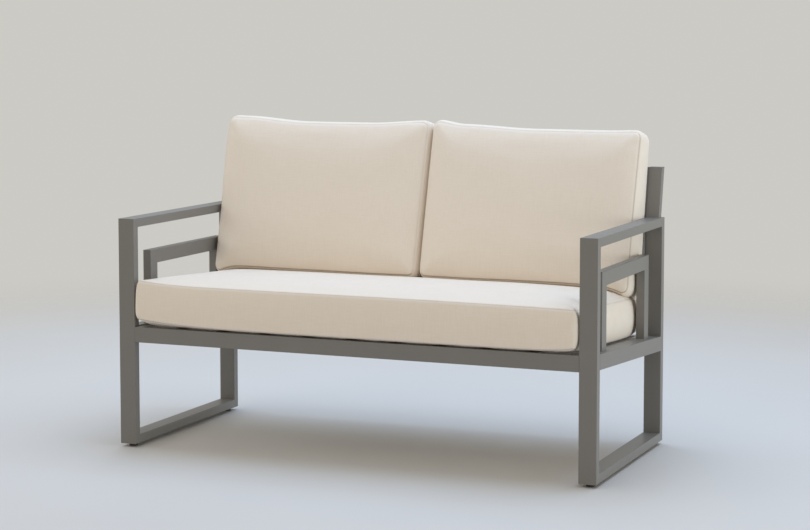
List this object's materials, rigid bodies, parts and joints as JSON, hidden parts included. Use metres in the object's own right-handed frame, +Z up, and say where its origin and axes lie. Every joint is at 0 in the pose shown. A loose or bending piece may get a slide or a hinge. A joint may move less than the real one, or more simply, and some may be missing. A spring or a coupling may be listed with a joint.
{
  "type": "patio loveseat",
  "caption": "Patio loveseat with a square powder-coated tube frame, slatted seat deck and back panel, a boxed seat cushion and boxed back cushions that lift off.",
  "frame": {"origin": "on the floor, in the middle of the frame's footprint", "axes": "+X to the right as seen from the front, +Y to the rear, +Z up"},
  "size_m": [1.43, 0.67, 0.9289],
  "materials": {
    "frame_coat": "satin",
    "cushion_fabric": "matte",
    "cushion_foam": "matte",
    "zip_plastic": "satin",
    "glide_plastic": "satin",
    "cap_plastic": "satin",
    "fastener_steel": "satin"
  },
  "bodies": {
    "frame": {"left_front_leg": "frame_coat", "left_rear_leg": "frame_coat", "left_arm_rail": "frame_coat", "left_floor_rail": "frame_coat", "left_side_rail": "frame_coat", "left_panel_front_post": "frame_coat", "left_panel_rear_post": "frame_coat", "left_panel_top_rail": "frame_coat", "left_back_upright": "frame_coat", "left_deck_end_bar": "frame_coat", "left_back_stile": "frame_coat", "right_front_leg": "frame_coat", "right_rear_leg": "frame_coat", "right_arm_rail": "frame_coat", "right_floor_rail": "frame_coat", "right_side_rail": "frame_coat", "right_panel_front_post": "frame_coat", "right_panel_rear_post": "frame_coat", "right_panel_top_rail": "frame_coat", "right_back_upright": "frame_coat", "right_deck_end_bar": "frame_coat", "right_back_stile": "frame_coat", "front_seat_rail": "frame_coat", "rear_seat_rail": "frame_coat", "deck_cross_bar": "frame_coat", "back_top_rail": "frame_coat", "back_lower_rail": "frame_coat", "deck_slats": "frame_coat", "back_slats": "frame_coat", "upright_caps": "cap_plastic", "deck_bolts": "fastener_steel", "deck_washers": "fastener_steel", "deck_rivet_nuts": "fastener_steel", "back_bolts": "fastener_steel", "back_washers": "fastener_steel", "back_rivet_nuts": "fastener_steel", "glide_inserts": "fastener_steel"},
    "front_left_glide": {"front_left_glide_pad": "glide_plastic", "front_left_glide_stud": "fastener_steel"},
    "rear_left_glide": {"rear_left_glide_pad": "glide_plastic", "rear_left_glide_stud": "fastener_steel"},
    "front_right_glide": {"front_right_glide_pad": "glide_plastic", "front_right_glide_stud": "fastener_steel"},
    "rear_right_glide": {"rear_right_glide_pad": "glide_plastic", "rear_right_glide_stud": "fastener_steel"},
    "seat_cushion": {"seat_cushion_cover": "cushion_fabric", "seat_cushion_foam": "cushion_foam", "seat_cushion_zip": "zip_plastic"},
    "left_back_cushion": {"left_back_cushion_cover": "cushion_fabric", "left_back_cushion_foam": "cushion_foam", "left_back_cushion_zip": "zip_plastic"},
    "right_back_cushion": {"right_back_cushion_cover": "cushion_fabric", "right_back_cushion_foam": "cushion_foam", "right_back_cushion_zip": "zip_plastic"}
  },
  "joints": [
    {"name": "front_left_glide_screw", "type": "slide", "parent": "frame", "child": "front_left_glide", "axis": [0, 0, -1], "range_m": [0, 0.008]},
    {"name": "rear_left_glide_screw", "type": "slide", "parent": "frame", "child": "rear_left_glide", "axis": [0, 0, -1], "range_m": [0, 0.008]},
    {"name": "front_right_glide_screw", "type": "slide", "parent": "frame", "child": "front_right_glide", "axis": [0, 0, -1], "range_m": [0, 0.008]},
    {"name": "rear_right_glide_screw", "type": "slide", "parent": "frame", "child": "rear_right_glide", "axis": [0, 0, -1], "range_m": [0, 0.008]},
    {"name": "seat_cushion_lift", "type": "slide", "parent": "frame", "child": "seat_cushion", "axis": [0, 0, 1], "range_m": [0, 0.5]},
    {"name": "left_back_cushion_lift", "type": "slide", "parent": "seat_cushion", "child": "left_back_cushion", "axis": [0, 0, 1], "range_m": [0, 0.4]},
    {"name": "right_back_cushion_lift", "type": "slide", "parent": "seat_cushion", "child": "right_back_cushion", "axis": [0, 0, 1], "range_m": [0, 0.4]}
  ]
}
